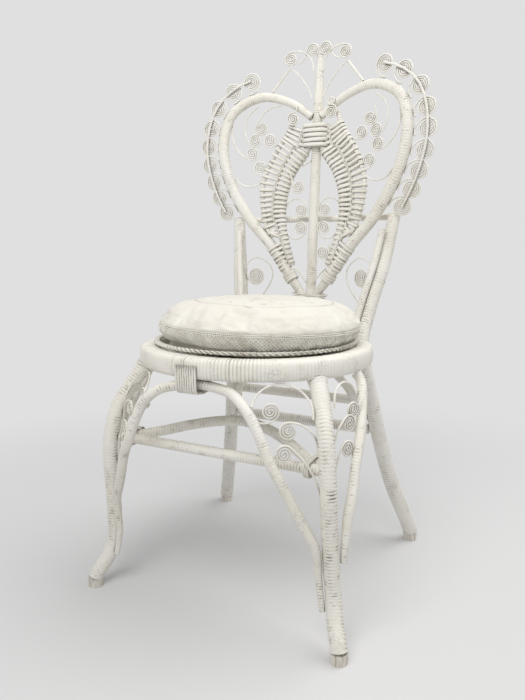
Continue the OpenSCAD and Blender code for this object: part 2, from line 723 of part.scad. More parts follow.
skirt_o = [122, back_y - 6, heart_z + 45];
skirt_x = unit([89, -25, 0]);
skirt_z = [0, 0, 1];
module skirt_scrolls() color("ivory")
    for (left = [false, true]) side(left)
        scroll(skirt_o, skirt_x, skirt_z, -60, 1, big_turns, skirt_o + 21.8 * skirt_x + 9 * skirt_z);
module skirt_reeds() color("ivory")
    for (left = [false, true]) side(left)
        pole(spline([
            skirt_o + 25 * skirt_x + 14 * skirt_z,
            skirt_o + 16 * skirt_x + 34 * skirt_z,
            skirt_o - 6 * skirt_x + 42 * skirt_z,
            skirt_o - 32 * skirt_x + 24 * skirt_z,
            skirt_o - 36 * skirt_x - 4 * skirt_z,
            skirt_o - 16 * skirt_x - 38 * skirt_z,
            skirt_o + 6 * skirt_x - 58 * skirt_z
        ], 3), reed_d, sides = reed_sides);

// ---------------------------------------------------------------- scrolls at the legs

// They hang between the front arch and the leg, and between the leg and the side brace
function front_at(x, y, z) = [x * leg_high[0], hoop_front + y, z * seat_z];
front_way = unit([0.82, 0.57, 0]);
up = [0, 0, 1];
function side_at(x, y, z) = [seat_w / 2 + x, -seat_y - y, z * seat_z];
side_way = unit([0.373, 0.928, 0]);
module front_leg_scrolls() color("ivory")
    for (left = [false, true]) side(left) {
        scroll(front_at(0.568, 27, 0.902), front_way, up, -40, -1, small_turns, front_at(0.462, 5, 0.88));
        scroll(front_at(0.70, 26, 0.839), front_way, up, 90, -1, small_turns, front_at(0.903, 45, 0.74));
        scroll(front_at(0.704, 12, 0.764), front_way, up, 50, -1, small_turns, front_at(0.930, 43, 0.58));
    }
module side_leg_scrolls() color("ivory")
    for (left = [false, true]) side(left) {
        scroll(side_at(7.4, 73.4, 0.884), side_way, up, 0, 1, small_turns, side_at(13, 55, 0.915));
        scroll(side_at(6.7, 89.4, 0.842), side_way, up, 125, 1, small_turns, side_at(-1, 125, 0.755));
        scroll(side_at(11, 107, 0.755), side_way, up, 145, 1, small_turns, side_at(4, 133, 0.62));
    }
module hood_reeds() color("ivory")
    for (left = [false, true]) side(left) {
        reed(front_at(0.47, 3, 0.925), front_at(0.525, 33, 0.99), front_at(0.845, 51, 0.875));
        reed(side_at(-12, 104, 0.90), side_at(-12, 74, 0.985), side_at(1, 40, 0.92));
    }

// ---------------------------------------------------------------- nodes

front_leg(true);  // front_leg_left
front_leg(false);  // front_leg_right
rear_post(true);  // rear_post_left
rear_post(false);  // rear_post_right
foot_tips();
seat_hoop();
seat_panel();
seat_braid();
cushion();
cushion_lace();
front_arch();
rear_arch();
side_brace(true);  // side_brace_left
side_brace(false);  // side_brace_right
front_bar();
bow_stretcher();
rear_bar();
rear_rail();
bar_bindings();
arch_binding();
centre_post();
heart(true);  // heart_left
heart(false);  // heart_right
upright_rod(true);  // upright_rod_left
upright_rod(false);  // upright_rod_right
cross_bar();
centre_binding();
foot_binding();
lens_binding(true);  // lens_binding_left
lens_binding(false);  // lens_binding_right
lens_inner(true);  // lens_inner_left
lens_inner(false);  // lens_inner_right
lens_rim(true);  // lens_rim_left
lens_rim(false);  // lens_rim_right
lens_middle(true);  // lens_middle_left
lens_middle(false);  // lens_middle_right
chain_spine(true);  // chain_spine_left
chain_spine(false);  // chain_spine_right
chain_scrolls(true);  // chain_scrolls_left
chain_scrolls(false);  // chain_scrolls_right
finial_scrolls();
finial_reeds();
finial_rods();
lobe_scrolls(true);  // lobe_scrolls_left
lobe_scrolls(false);  // lobe_scrolls_right
lobe_reeds(true);  // lobe_reeds_left
lobe_reeds(false);  // lobe_reeds_right
lens_scrolls();
lens_reeds();
skirt_scrolls();
skirt_reeds();
front_leg_scrolls();
side_leg_scrolls();
hood_reeds();
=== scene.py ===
import math
import random
import bpy
import bmesh
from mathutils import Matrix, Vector, noise
from mathutils.bvhtree import BVHTree


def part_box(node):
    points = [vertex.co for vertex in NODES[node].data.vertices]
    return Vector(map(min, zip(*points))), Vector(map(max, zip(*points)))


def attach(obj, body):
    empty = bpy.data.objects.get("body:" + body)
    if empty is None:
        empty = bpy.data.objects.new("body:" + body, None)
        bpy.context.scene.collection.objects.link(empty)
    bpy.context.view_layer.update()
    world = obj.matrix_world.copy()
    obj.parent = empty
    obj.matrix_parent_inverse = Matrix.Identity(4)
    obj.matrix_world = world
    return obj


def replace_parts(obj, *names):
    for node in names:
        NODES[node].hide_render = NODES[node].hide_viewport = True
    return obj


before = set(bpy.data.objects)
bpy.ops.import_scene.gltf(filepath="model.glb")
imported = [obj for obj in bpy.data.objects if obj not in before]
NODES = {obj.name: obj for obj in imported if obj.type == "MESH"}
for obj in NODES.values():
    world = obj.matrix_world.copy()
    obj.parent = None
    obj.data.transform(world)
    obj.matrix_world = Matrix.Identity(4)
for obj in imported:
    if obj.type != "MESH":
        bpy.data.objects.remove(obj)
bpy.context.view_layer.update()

random.seed(7)


# ---------------------------------------------------------------- materials

# Sockets of the colour Mix node, which has several of the same name
MIX_A, MIX_B, MIX_COLOUR = 6, 7, 2


class Nodes:
    """A node tree filled in node by node."""

    def __init__(self, tree):
        self.tree = tree

    def node(self, kind, **values):
        n = self.tree.nodes.new(kind)
        for key, value in values.items():
            setattr(n, key, value)
        return n

    def put(self, socket, value):
        if hasattr(value, "is_linked"):
            self.tree.links.new(value, socket)
        else:
            socket.default_value = value

    def ramp(self, value, low, high, a=0.0, b=1.0):
        n = self.node("ShaderNodeMapRange")
        n.inputs["From Min"].default_value = low
        n.inputs["From Max"].default_value = high
        n.inputs["To Min"].default_value = a
        n.inputs["To Max"].default_value = b
        self.put(n.inputs["Value"], value)
        return n.outputs["Result"]

    def math(self, op, a, b=0.0):
        n = self.node("ShaderNodeMath", operation=op)
        n.use_clamp = op in ("ADD", "MULTIPLY", "SUBTRACT", "MAXIMUM")
        self.put(n.inputs[0], a)
        self.put(n.inputs[1], b)
        return n.outputs[0]

    def blend(self, a, b, fac):
        n = self.node("ShaderNodeMix", data_type="RGBA")
        self.put(n.inputs[0], fac)
        self.put(n.inputs[MIX_A], a)
        self.put(n.inputs[MIX_B], b)
        return n.outputs[MIX_COLOUR]


class Shader(Nodes):
    """A material built node by node."""

    def __init__(self, name):
        self.mat = bpy.data.materials.new(name)
        self.mat.use_nodes = True
        super().__init__(self.mat.node_tree)
        self.bsdf = self.tree.nodes["Principled BSDF"]
        self.place = self.node("ShaderNodeTexCoord").outputs["Object"]

    def mapped(self, kind, stretch, seed=0.0, **values):
        """A texture node placed by the object's own coordinates."""
        n = self.node(kind, **values)
        m = self.node("ShaderNodeMapping")
        m.inputs["Location"].default_value = (seed, seed * 0.7, seed * 1.3)
        if stretch:
            m.inputs["Scale"].default_value = stretch
        self.put(m.inputs["Vector"], self.place)
        self.put(n.inputs["Vector"], m.outputs["Vector"])
        return n

    def noise(self, scale, detail=4.0, rough=0.55, stretch=None, seed=0.0):
        n = self.mapped("ShaderNodeTexNoise", stretch, seed)
        n.inputs["Scale"].default_value = scale
        n.inputs["Detail"].default_value = detail
        n.inputs["Roughness"].default_value = rough
        return n.outputs["Fac"]

    def voronoi(self, scale, feature="DISTANCE_TO_EDGE", stretch=None):
        n = self.mapped("ShaderNodeTexVoronoi", stretch, feature=feature)
        n.inputs["Scale"].default_value = scale
        return n.outputs["Distance"]

    def weave(self, scale):
        """Warp and weft of a plain cloth."""
        both = []
        for way in ("X", "Y"):
            n = self.node("ShaderNodeTexWave", wave_type="BANDS", bands_direction=way)
            n.inputs["Scale"].default_value = scale
            self.put(n.inputs["Vector"], self.place)
            both.append(n.outputs["Fac"])
        return self.math("MULTIPLY", self.math("ADD", *both), 0.5)

    def crevice(self, distance):
        """How much shade to paint: 1 in a corner or narrow gap, 0 on an open surface."""
        n = self.node("ShaderNodeAmbientOcclusion", samples=6)
        n.inputs["Distance"].default_value = distance
        return self.ramp(n.outputs["AO"], 0.30, 0.86, 1.0, 0.0)

    def attribute(self, name):
        n = self.node("ShaderNodeAttribute", attribute_name=name)
        return n.outputs["Fac"]

    def height(self):
        n = self.node("ShaderNodeSeparateXYZ")
        self.put(n.inputs[0], self.place)
        return n.outputs[2]

    def bump(self, value, depth, strength=1.0):
        n = self.node("ShaderNodeBump")
        n.inputs["Distance"].default_value = depth
        n.inputs["Strength"].default_value = strength
        self.put(n.inputs["Height"], value)
        self.put(self.bsdf.inputs["Normal"], n.outputs["Normal"])

    def done(self, colour, rough):
        self.put(self.bsdf.inputs["Base Color"], colour)
        self.put(self.bsdf.inputs["Roughness"], rough)
        return self.mat


BACKDROP = (0.745, 0.745, 0.745, 1.0)
WHITE = (0.83, 0.81, 0.755, 1.0)
CREAM = (0.78, 0.745, 0.66, 1.0)
YELLOWED = (0.70, 0.65, 0.52, 1.0)
GREY = (0.46, 0.43, 0.37, 1.0)
DIRT = (0.25, 0.22, 0.17, 1.0)
# painted shade in corners and narrow gaps
PAINTED_GAP_SHADE = (0.10, 0.085, 0.065, 1.0)
BARE = (0.27, 0.19, 0.115, 1.0)
FOOT_DARK, FOOT_PALE = (0.42, 0.37, 0.29, 1.0), (0.76, 0.73, 0.66, 1.0)
COTTON, COTTON_AGED = (0.77, 0.745, 0.685, 1.0), (0.72, 0.685, 0.605, 1.0)
COTTON_YELLOW = (0.62, 0.56, 0.45, 1.0)
STAIN = (0.45, 0.39, 0.30, 1.0)
CREASE_DARK = (0.27, 0.22, 0.15, 1.0)
SEAM_DARK = (0.21, 0.175, 0.125, 1.0)
LACE_CLEAN, LACE_AGED = (0.86, 0.84, 0.78, 1.0), (0.72, 0.68, 0.59, 1.0)
# painted shade: the dark seen through the lace's net and in its eyelets
LACE_SHADE = (0.17, 0.14, 0.10, 1.0)


def paint(name, chips, darkening, grooves=True, tone=0.0, feet=True):
    """Old off-white paint: thick and smooth in places, cracked and flaked in others."""
    s = Shader(name)
    wide = s.noise(9.0, 3.0, 0.5)
    middle = s.noise(38.0, 5.0, 0.6, seed=3.0)
    fine = s.noise(420.0, 4.0, 0.6, seed=8.0)
    base = s.blend(WHITE, CREAM, s.ramp(wide, 0.38, 0.68, tone, 0.75 + tone * 0.25))
    base = s.blend(base, YELLOWED, s.ramp(middle, 0.56, 0.78, 0.0, 0.5))
    # grime in the grooves and in patches; darkening scales it and the painted shade below
    grime = s.ramp(middle, 0.40, 0.66, 0.25, 0.85)
    if grooves:
        deep = s.attribute("groove_and_shade")
        soot = s.math("MULTIPLY", s.ramp(deep, 0.30, 0.95, 0.0, 1.0), grime)
        soot = s.math("MULTIPLY", soot, 0.75 + 0.8 * darkening)
    else:
        specks = s.ramp(s.noise(150.0, 5.0, 0.65, seed=5.0), 0.52, 0.74, 0.0, 0.8)
        soot = s.math("MULTIPLY", specks, darkening)
    base = s.blend(base, DIRT, soot)
    # painted shade: darker in corners and narrow gaps, from ambient occlusion
    reach, shade = (0.0035, 0.35 + 0.55 * darkening) if grooves else (0.0055, 0.92)
    base = s.blend(base, PAINTED_GAP_SHADE, s.math("MULTIPLY", s.crevice(reach), shade))
    # painted shade in the gaps where two turns have slipped apart
    if grooves:
        base = s.blend(base, PAINTED_GAP_SHADE, s.ramp(deep, 1.15, 1.5, 0.0, 0.85))
    # cracks: thin dark lines, in patches
    crack = s.voronoi(95.0, stretch=(1.0, 1.0, 2.2))
    line = s.ramp(crack, 0.0, 0.06, 1.0, 0.0)
    patch = s.ramp(s.noise(24.0, 4.0, 0.6, seed=11.0), 0.50, 0.60, 0.0, 1.0)
    line = s.math("MULTIPLY", line, patch)
    base = s.blend(base, DIRT, s.math("MULTIPLY", line, 0.75 * chips + 0.12))
    # flakes: paint gone, grey-brown cane shows, more of it near the floor
    worn = s.ramp(s.noise(14.0, 3.0, 0.5, seed=20.0), 0.45, 0.7, -0.12, 0.10)
    flake = s.math("ADD", s.noise(120.0, 6.0, 0.7, seed=17.0), worn)
    if feet:
        low = s.ramp(s.height(), 0.05, 0.24, 0.075, 0.0)
        flake = s.math("ADD", flake, low)
    gone = s.ramp(flake, 0.735 - 0.09 * chips, 0.765 - 0.09 * chips, 0.0, 1.0)
    wood = s.blend(BARE, GREY, s.ramp(fine, 0.35, 0.65, 0.0, 1.0))
    base = s.blend(base, wood, s.math("MULTIPLY", gone, 0.85))
    lumps = s.math("ADD", s.math("MULTIPLY", middle, 0.5), s.math("MULTIPLY", fine, 0.16))
    lumps = s.math("SUBTRACT", lumps, s.math("MULTIPLY", s.math("ADD", gone, line), 0.3))
    s.bump(lumps, 0.0011, 0.55)
    s.bsdf.inputs["Specular IOR Level"].default_value = 0.35
    return s.done(base, s.ramp(fine, 0.3, 0.7, 0.5, 0.72))


PAINT = paint("wrapped_cane_paint", 0.22, 0.40)
PAINT_HEAVY = paint("wrapped_cane_worn", 0.38, 0.55, tone=0.1)
PAINT_REED = paint("reed_paint", 0.10, 0.35, grooves=False)
PAINT_TRIM = paint("lattice_paint", 0.2, 0.5, tone=0.05)
PAINT_SEAT = paint("hoop_paint", 0.35, 0.55, tone=0.1, feet=False)


def wood():
    s = Shader("bare_foot_wood")
    grain = s.noise(210.0, 5.0, 0.65, stretch=(1.0, 1.0, 0.12))
    colour = s.blend(FOOT_DARK, FOOT_PALE, s.ramp(grain, 0.30, 0.56))
    s.bump(grain, 0.0008, 0.6)
    return s.done(colour, 0.75)


def cloth():
    s = Shader("cushion_cotton")
    wide = s.noise(7.0, 3.0, 0.5)
    middle = s.noise(32.0, 5.0, 0.6, seed=2.0)
    base = s.blend(COTTON, COTTON_AGED, s.ramp(wide, 0.36, 0.72, 0.0, 0.85))
    base = s.blend(base, COTTON_YELLOW, s.ramp(middle, 0.58, 0.82, 0.0, 0.35))
    # thin darker lines, like creases, run round the crown, and small stains lie on it
    vein = s.noise(16.0, 2.0, 0.5, stretch=(0.55, 1.0, 3.0), seed=31.0)
    thin = s.ramp(s.math("ABSOLUTE", s.math("SUBTRACT", vein, 0.5)), 0.0, 0.006, 1.0, 0.0)
    where = s.ramp(s.noise(11.0, 3.0, 0.6, seed=41.0), 0.50, 0.60, 0.0, 1.0)
    spot = s.ramp(s.voronoi(21.0, "F1", stretch=(0.7, 1.0, 1.5)), 0.06, 0.13, 1.0, 0.0)
    some = s.ramp(s.noise(17.0, 2.0, 0.5, seed=51.0), 0.50, 0.56, 0.0, 1.0)
    spot = s.math("MULTIPLY", spot, some)
    base = s.blend(base, STAIN, s.math("MULTIPLY", spot, 0.22))
    crease = s.math("MULTIPLY", thin, where)
    base = s.blend(base, CREASE_DARK, s.math("MULTIPLY", crease, 0.15))
    # darker along the sewn edge and in the crown's stitched ring, holes and net
    base = s.blend(base, SEAM_DARK, s.math("MULTIPLY", s.attribute("seam"), 0.95))
    height = s.math("ADD", s.math("MULTIPLY", s.weave(260.0), 0.25),
                    s.math("MULTIPLY", middle, 0.5))
    s.bump(height, 0.0016, 0.5)
    s.bsdf.inputs["Sheen Weight"].default_value = 0.25
    s.bsdf.inputs["Specular IOR Level"].default_value = 0.2
    return s.done(base, 0.9)


def crochet():
    s = Shader("lace_cotton")
    fine = s.noise(300.0, 4.0, 0.6)
    middle = s.noise(40.0, 4.0, 0.6, seed=4.0)
    base = s.blend(LACE_CLEAN, LACE_AGED, s.ramp(middle, 0.40, 0.68))
    # painted shade, on the sheet behind the net
    base = s.blend(base, LACE_SHADE, s.math("MULTIPLY", s.attribute("groove_and_shade"), 0.9))
    s.bump(fine, 0.0009, 0.6)
    return s.done(base, 0.92)


WOOD = wood()
CLOTH = cloth()
LACE = crochet()


# ---------------------------------------------------------------- mesh tools

def store(mesh, name, values):
    """Keep one value for each vertex, for the material to read."""
    mesh.attributes.new(name, "FLOAT", "POINT").data.foreach_set("value", values)


def smooth_shaded(mesh):
    for p in mesh.polygons:
        p.use_smooth = True


def make(name, verts, faces, material, groove_and_shade=None):
    mesh = bpy.data.meshes.new(name)
    mesh.from_pydata(verts, [], faces)
    mesh.update()
    if groove_and_shade is not None:
        store(mesh, "groove_and_shade", groove_and_shade)
    mesh.materials.append(material)
    smooth_shaded(mesh)
    obj = bpy.data.objects.new(name, mesh)
    bpy.context.scene.collection.objects.link(obj)
    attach(obj, "root")
    return obj


MERGE = 0.00001      # corners nearer than this are one
SAME_WAY = 0.9985    # cosine of two normals that point the same way
CAP_REACH = 0.03     # how far apart two faces of one end cap may lie
PLANE_GAP = 0.00002  # how far a face of the cap may lie off its plane
CURVE_STEPS = 6      # points of the smooth curve from one ring to the next


def rings_of(node, sides):
    """Centres and radii of the rings a CAD pole is swept through, or None if it has no end cap."""
    bm = bmesh.new()
    bm.from_mesh(NODES[node].data)
    bmesh.ops.remove_doubles(bm, verts=bm.verts, dist=MERGE)
    bm.verts.ensure_lookup_table()
    bm.normal_update()
    planes = []
    for f in bm.faces:
        n, c = f.normal, f.calc_center_median()
        for other, spot, group in planes:
            away = c - spot
            if (n.dot(other) > SAME_WAY and away.length < CAP_REACH
                    and abs(other.dot(away)) < PLANE_GAP):
                group.append(f)
                break
        else:
            planes.append((n.copy(), c, [f]))
    cap = None
    for _, _, group in planes:
        verts = {v for f in group for v in f.verts}
        if len(verts) == sides and len(group) in (1, sides - 2):
            cap = verts
            break
    if cap is None:
        bm.free()
        return None
    rings, seen, level = [], set(cap), set(cap)
    while len(level) == sides:
        pts = [v.co.copy() for v in level]
        centre = sum(pts, Vector()) / len(pts)
        rings.append((centre, sum((p - centre).length for p in pts) / len(pts)))
        step = set()
        for v in level:
            for e in v.link_edges:
                o = e.other_vert(v)
                if o not in seen:
                    step.add(o)
        seen |= step
        level = step
    bm.free()
    return rings


def resample(rings, step):
    """Smooth centreline with even steps: a list of (point, radius, distance)."""
    pts = [r[0] for r in rings]
    rad = [r[1] for r in rings]
    n = len(pts)
    dense = []
    for i in range(n - 1):
        a, b, c, d = pts[max(i - 1, 0)], pts[i], pts[i + 1], pts[min(i + 2, n - 1)]
        for k in range(CURVE_STEPS):
            t = k / CURVE_STEPS
            p = (2 * b + (c - a) * t + (2 * a - 5 * b + 4 * c - d) * t * t
                 + (3 * b - a - 3 * c + d) * t ** 3) / 2
            dense.append((p, rad[i] + (rad[i + 1] - rad[i]) * t))
    dense.append((pts[-1], rad[-1]))
    out = [(dense[0][0], dense[0][1], 0.0)]
    s, target = 0.0, step
    for (a, ra), (b, rb) in zip(dense, dense[1:]):
        seg = (b - a).length
        while seg > 0 and s + seg >= target:
            t = (target - s) / seg
            out.append((a.lerp(b, t), ra + (rb - ra) * t, target))
            target += step
        s += seg
    return out


def frames(path):
    """Two axes across a path at each point, which turn as little as possible."""
    n = len(path)
    tan = [(path[min(i + 1, n - 1)][0] - path[max(i - 1, 0)][0]).normalized()
           for i in range(n)]
    ref = Vector((0, 0, 1)) if abs(tan[0].z) < 0.8 else Vector((1, 0, 0))
    x = (ref - tan[0] * ref.dot(tan[0])).normalized()
    out = []
    for t in tan:
        x = (x - t * x.dot(t)).normalized()
        out.append((x, t.cross(x)))
    return out


def tube(path, sides, profile):
    """Verts, faces and groove depths of a tube.

    profile(distance, angle, radius) gives the radius there and the groove's depth: 0 on a
    crest, 1 in a groove, and more where two turns have slipped apart.
    """
    verts, faces, groove_and_shade = [], [], []
    for (p, r, s), (x, y) in zip(path, frames(path)):
        for k in range(sides):
            a = 2 * math.pi * k / sides
            rr, g = profile(s, a, r)
            verts.append(p + x * (rr * math.cos(a)) + y * (rr * math.sin(a)))
            groove_and_shade.append(g)
    n = len(path)
    for i in range(n - 1):
        for k in range(sides):
            a, b = i * sides + k, i * sides + (k + 1) % sides
            faces.append((a, b, b + sides, a + sides))
    faces.append(tuple(range(sides - 1, -1, -1)))
    faces.append(tuple((n - 1) * sides + k for k in range(sides)))
    return verts, faces, groove_and_shade


RAGGED = 0.25    # how much lower some turns lie, as a share of the groove's depth
SLIP_ZONE = 0.2  # share of a turn, at its edge, that is sunk and painted dark as shade where two have slipped apart


def wrap_profile(pitch, depth, seed):
    """Cane wound round a pole: crests and grooves, some turns slipped or clogged with paint."""
    def profile(s, a, r):
        t = s / pitch + a / (2 * math.pi)
        turn = math.floor(t)
        jitter = noise.noise(Vector((turn * 3.7 + seed, seed, 0.0)))
        f = t - turn
        crest = math.sin(math.pi * min(max(f, 0.0), 1.0)) ** 0.55
        clog = noise.noise(Vector((s * 11.0 + seed, math.cos(a) * 0.6, math.sin(a) * 0.6 + seed)))
        amount = min(1.0, max(0.45, 0.80 + 1.1 * clog))
        g = (1.0 - crest) * amount
        # here and there two turns have slipped apart, and the gap between them is painted dark as
        # shade
        slipped = noise.noise(Vector((turn * 1.9 + seed, a * 0.9, 5.0))) > 0.42
        if min(f, 1 - f) < SLIP_ZONE and slipped:
            g += 0.7
        return r - depth * g - depth * RAGGED * max(0.0, jitter) * amount, g
    return profile


# Corners of the CAD poles' sections
POLE_SIDES, ROD_SIDES = 12, 8


def wrapped(node, pitch, depth, material, around, seed):
    """A CAD pole bound with cane from end to end."""
    rings = rings_of(node, POLE_SIDES)
    if not rings or len(rings) < 2:
        print("no rings", node)
        return
    path = resample(rings, pitch / 4)
    v, f, g = tube(path, around, wrap_profile(pitch, depth, seed))
    obj = make(node + "_cane", v, f, material, groove_and_shade=g)
    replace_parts(obj, node)


# ---------------------------------------------------------------- poles

# Node, pitch and depth of its winding, paint, corners of the tube, seed of its irregularities
PAIRED_POLES = (("front_leg_", 0.0056, 0.0012, PAINT_HEAVY, 20, 1.0),
                ("rear_post_", 0.0056, 0.0010, PAINT, 20, 4.0),
                ("side_brace_", 0.0050, 0.0009, PAINT_HEAVY, 14, 7.0),
                ("heart_", 0.0054, 0.0010, PAINT, 18, 10.0),
                ("upright_rod_", 0.0050, 0.0007, PAINT, 12, 13.0))
SINGLE_POLES = (("front_arch", 0.0050, 0.0010, PAINT_HEAVY, 14, 20.0),
                ("rear_arch", 0.0050, 0.0009, PAINT, 14, 21.0),
                ("bow_stretcher", 0.0052, 0.0010, PAINT_HEAVY, 14, 22.0),
                ("centre_post", 0.0050, 0.0006, PAINT, 16, 23.0),
                ("cross_bar", 0.0060, 0.0004, PAINT, 12, 24.0))
for i, side in enumerate(("left", "right")):
    for pole, *winding, seed in PAIRED_POLES:
        wrapped(pole + side, *winding, seed + i)
for pole in SINGLE_POLES:
    wrapped(*pole)


PATH_STEP = 0.0013  # along a bar or one of the lens's poles
BAR_AROUND, BAR_PITCH, BAR_DEPTH = 16, 0.0052, 0.0009


def rod(node, seed):
    """A straight bar, which is a plain cylinder in the CAD model, bound with cane."""
    lo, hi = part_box(node)
    y, z = (lo[1] + hi[1]) / 2, (lo[2] + hi[2]) / 2
    r = (hi[2] - lo[2]) / 2
    pts = [(lo[0] + (hi[0] - lo[0]) * t, y, z) for t in (0, 0.25, 0.5, 0.75, 1)]
    path = resample([(Vector(p), r) for p in pts], PATH_STEP)
    v, f, g = tube(path, BAR_AROUND, wrap_profile(BAR_PITCH, BAR_DEPTH, seed))
    obj = make(node + "_cane", v, f, PAINT_HEAVY, groove_and_shade=g)
    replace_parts(obj, node)


for bar, seed in (("front_bar", 30.0), ("rear_bar", 31.0), ("rear_rail", 32.0)):
    rod(bar, seed)


def material(node, mat):
    """Paint a CAD node that is shown as it is."""
    for m in NODES[node].material_slots:
        m.material = mat


def strap(points, wdirs, width, thick, closed=False, around=8):
    """A flat strand along points: width lies along wdirs, thickness across."""
    n = len(points)
    verts, groove_and_shade, faces = [], [], []
    for i, p in enumerate(points):
        a = points[(i - 1) % n] if closed else points[max(i - 1, 0)]
        b = points[(i + 1) % n] if closed else points[min(i + 1, n - 1)]
        t = (b - a).normalized()
        w = wdirs[i] - t * wdirs[i].dot(t)
        w.normalize()
        h = t.cross(w)
        for k in range(around):
            angle = 2 * math.pi * k / around
            c, q = math.cos(angle), math.sin(angle)
            cc = math.copysign(abs(c) ** 0.7, c)
            verts.append(p + w * (cc * width / 2) + h * (q * thick / 2))
            groove_and_shade.append(abs(cc) ** 3)
    for i in range(n if closed else n - 1):
        j = (i + 1) % n
        for k in range(around):
            m = (k + 1) % around
            faces.append((i * around + k, i * around + m, j * around + m, j * around + k))
    if not closed:
        faces.append(tuple(range(around)))
        faces.append(tuple((n - 1) * around + k for k in range(around - 1, -1, -1)))
    return verts, faces, groove_and_shade


class Bundle:
    """Several strands gathered in one piece."""

    def __init__(self):
        self.v, self.f, self.g = [], [], []

    def add(self, part):
        base = len(self.v)
        self.v += part[0]
        self.f += [tuple(i + base for i in f) for f in part[1]]
        self.g += part[2]

    def piece(self, name, mat, slot, replaced=None):
        obj = make(name, self.v, self.f, mat, groove_and_shade=self.g)
        if replaced:
            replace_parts(obj, *replaced)
        return obj


def loop_round(centre, axes, half_w, half_d, width, thick, tilt, count=36):
    """A closed strand round poles side by side: half_w along the first axis, half_d the second."""
    ex, ey, ez = axes
    flat = max(half_w - half_d, 0.0)
    pts = []
    for i in range(count):
        a = 2 * math.pi * i / count
        c, q = math.cos(a), math.sin(a)
        pts.append(centre + ex * (half_d * c + math.copysign(flat, c) * min(1.0, abs(c) * 2.2))
                   + ey * (half_d * q) + ez * (tilt * c))
    return strap(pts, [ez] * count, width, thick, closed=True)


# ---------------------------------------------------------------- bindings

X, Y, Z = Vector((1, 0, 0)), Vector((0, 1, 0)), Vector((0, 0, 1))
BACK_LEAN = 0.079  # how far the back leans, back per up


def ring_binding(node, name, strands, width, thick, tilt=0.0008, foot=1.0):
    """Strands wound level round the back's poles. The lowest is narrower, by the share foot."""
    lo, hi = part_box(node)
    mid = (lo + hi) / 2
    b = Bundle()
    h = hi[2] - lo[2]
    half_w = (hi[0] - lo[0]) / 2
    depth = (hi[1] - lo[1] - BACK_LEAN * h) / 2
    for i in range(strands):
        t = (i + 0.5) / strands
        z = lo[2] + h * t
        c = Vector((mid[0], mid[1] + BACK_LEAN * (z - mid[2]), z))
        w = half_w * (1 - (1 - foot) * (1 - t))
        b.add(loop_round(c, (X, Y, Z), w - thick / 2 - random.uniform(0, 0.0006),
                         depth - thick / 2, width * random.uniform(0.93, 1.02), thick,
                         tilt * random.choice((-1, 1)), 40))
    b.piece(name, PAINT, "cane", [node])


def bar_bindings():
    """Three turns at each end of the bowed stretcher."""
    lo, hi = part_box("bar_bindings")
    width, thick = 0.0034, 0.0026
    half_y, half_z = (hi[1] - lo[1]) / 2 - thick / 2, (hi[2] - lo[2]) / 2 - thick / 2
    b = Bundle()
    for side in (-1, 1):
        for i in range(3):
            c = Vector((side * (hi[0] - 0.0018 - i * width), (lo[1] + hi[1]) / 2,
                        (lo[2] + hi[2]) / 2))
            b.add(loop_round(c, (Y, Z, X), half_y, half_z, width, thick, 0.0006))
    b.piece("bar_binding_strands", PAINT_HEAVY, "cane", ["bar_bindings"])


def arch_strap():
    """The wide strap that hangs the front arch from the hoop: strands laid side by side."""
    lo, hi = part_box("arch_binding")
    b = Bundle()
    count, thick = 9, 0.0024
    front, rear = lo[1] + thick / 2, hi[1] - thick / 2
    top, low = hi[2] - 0.0004, lo[2] + thick / 2
    half = (top + low) / 2
    loop = [(front, top - 0.001), (front, top - 0.012), (front, half), (front + 0.001, low + 0.008),
            (front + 0.005, low + 0.0022), ((front + rear) / 2, low), (rear - 0.005, low + 0.0022),
            (rear - 0.001, low + 0.008), (rear, half), (rear, top - 0.004)]
    for i in range(count):
        x = lo[0] + (hi[0] - lo[0]) * (i + 0.5) / count
        shake = random.uniform(-0.0006, 0.0006)
        pts = [Vector((x + (shake if j % 2 else -shake), y, z)) for j, (y, z) in enumerate(loop)]
        b.add(strap(pts, [X] * len(pts), (hi[0] - lo[0]) / count * 1.02, thick))
    b.piece("arch_strap_strands", PAINT_HEAVY, "cane", ["arch_binding"])


ring_binding("centre_binding", "centre_binding_strands", 5, 0.0094, 0.0062)
ring_binding("foot_binding", "foot_binding_strands", 6, 0.0034, 0.0030, tilt=0.0022, foot=0.86)
bar_bindings()
arch_strap()


# ---------------------------------------------------------------- seat

hoop_lo, hoop_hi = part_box("seat_hoop")
HALF_W, HALF_D = (hoop_hi[0] - hoop_lo[0]) / 2, (hoop_hi[1] - hoop_lo[1]) / 2
SEAT_Y = (hoop_hi[1] + hoop_lo[1]) / 2
HOOP_T = 0.036       # from the hoop's outside to its inside
HOOP_PITCH = 0.0062  # of its winding
HOOP_GROOVE = 0.0013
PLAIT_TURN = 0.030   # length in which the rim's strands change places once
OUTLINE_STEPS = 2000


def rounded(angle, rx, ry, rear):
    """A point of an outline that is an ellipse in front and squarer behind, by the power rear."""
    c, q = math.cos(angle), math.sin(angle)
    n = 2.0 if q < 0 else rear
    return (rx * math.copysign(abs(c) ** (2 / n), c), ry * math.copysign(abs(q) ** (2 / n), q))


def outline(angle, inset):
    x, y = rounded(angle, HALF_W - inset, HALF_D - inset, 2.4)
    return Vector((x, y + SEAT_Y, 0.0))


